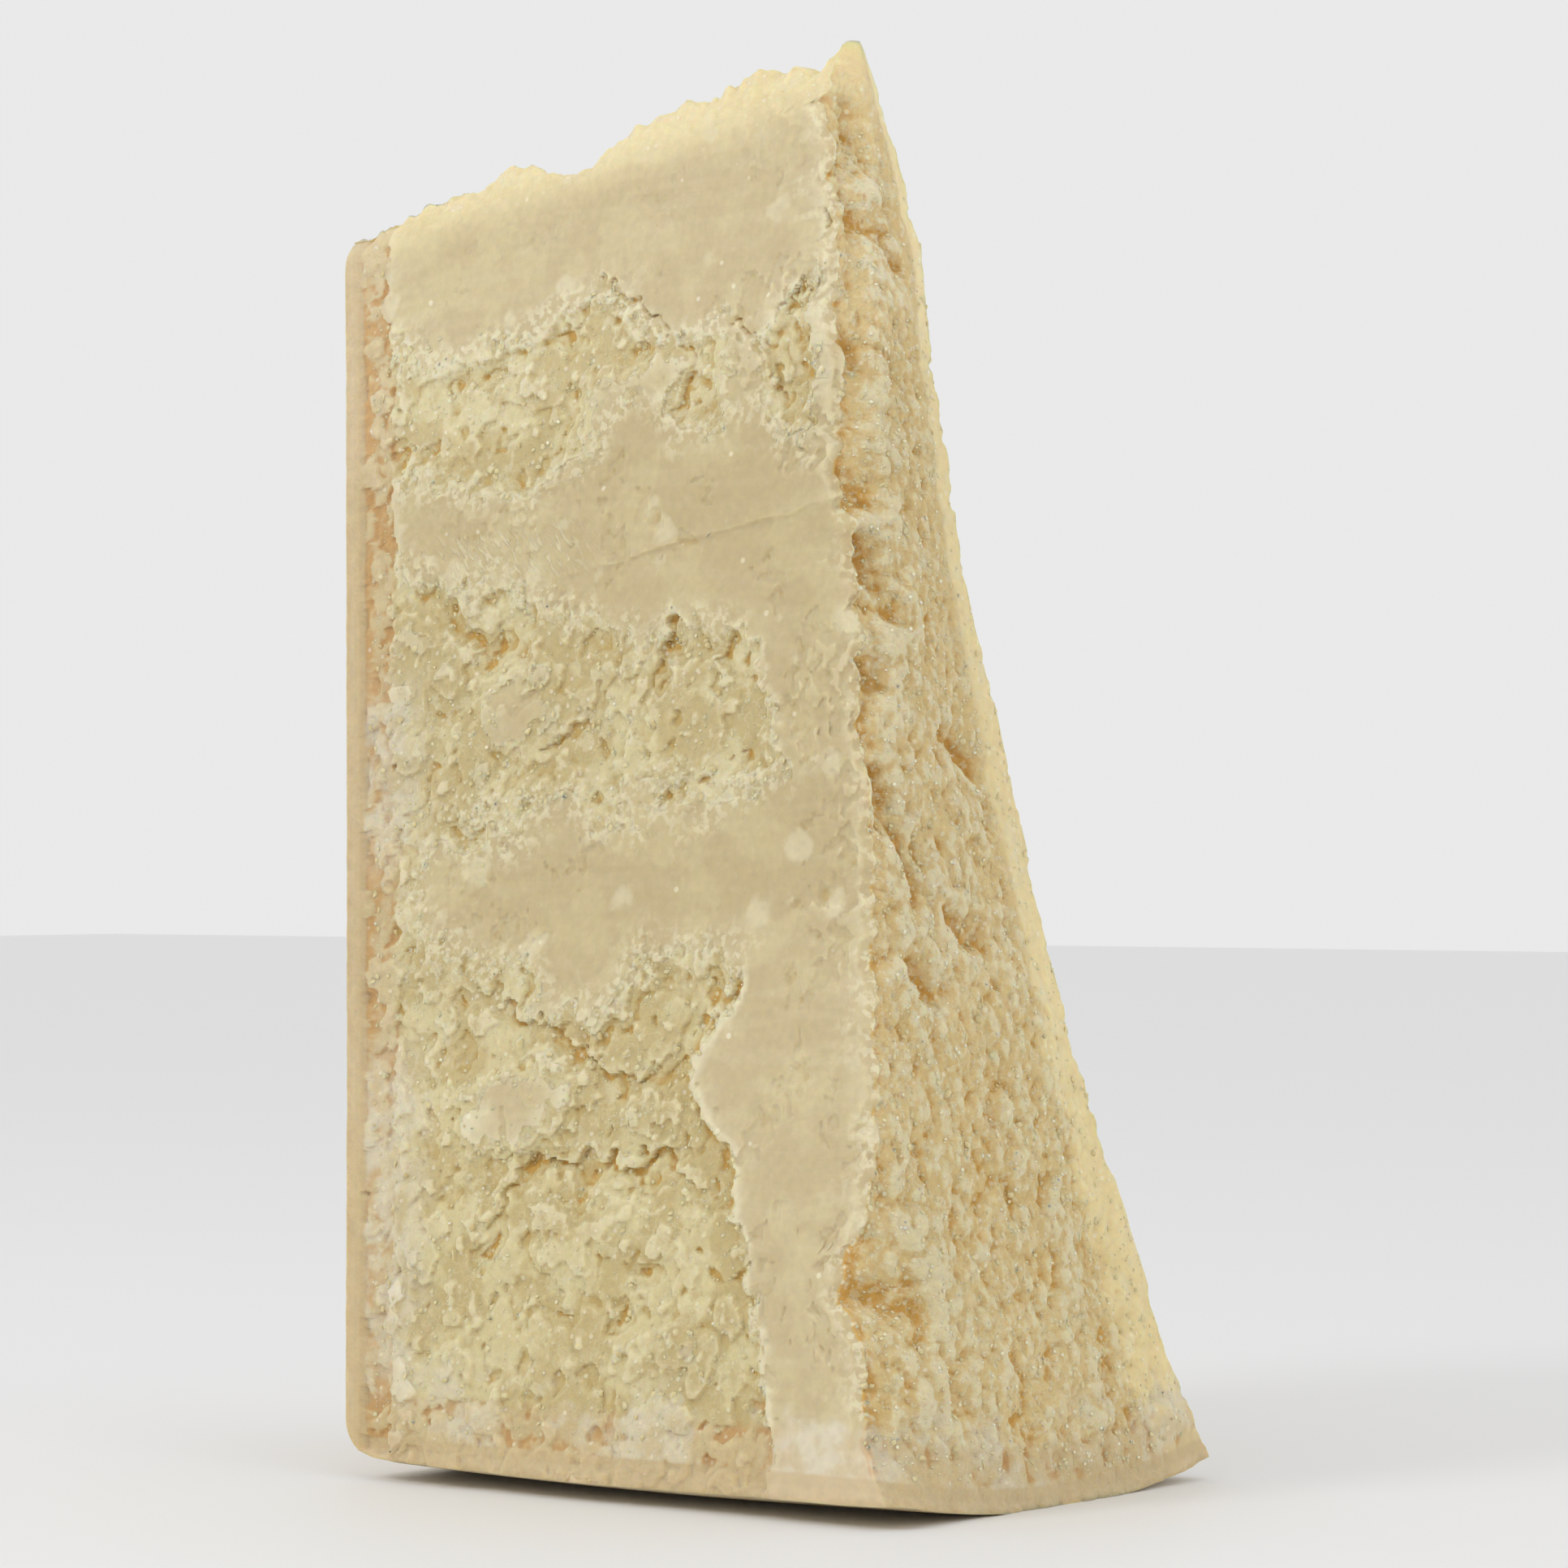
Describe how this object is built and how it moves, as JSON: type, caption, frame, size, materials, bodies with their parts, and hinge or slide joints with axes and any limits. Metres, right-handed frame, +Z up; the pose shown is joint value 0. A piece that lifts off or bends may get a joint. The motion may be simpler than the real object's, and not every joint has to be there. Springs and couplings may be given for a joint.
{
  "type": "hard cheese wedge",
  "caption": "Tall wedge of aged hard cheese that stands on its rind heel, with crumbly broken faces.",
  "frame": {"origin": "middle of the flat spot on the heel that the wedge stands on", "axes": "+Z up from the heel to the tip, +X towards the broken face, -Y towards the front cut"},
  "size_m": [0.1425, 0.0845, 0.2219],
  "materials": {
    "paste": "dry crumbly pale straw cheese, waxy where the knife ran, with a tan rind on the heel and on one side"
  },
  "bodies": {
    "root": {"wedge": "paste"}
  },
  "joints": []
}
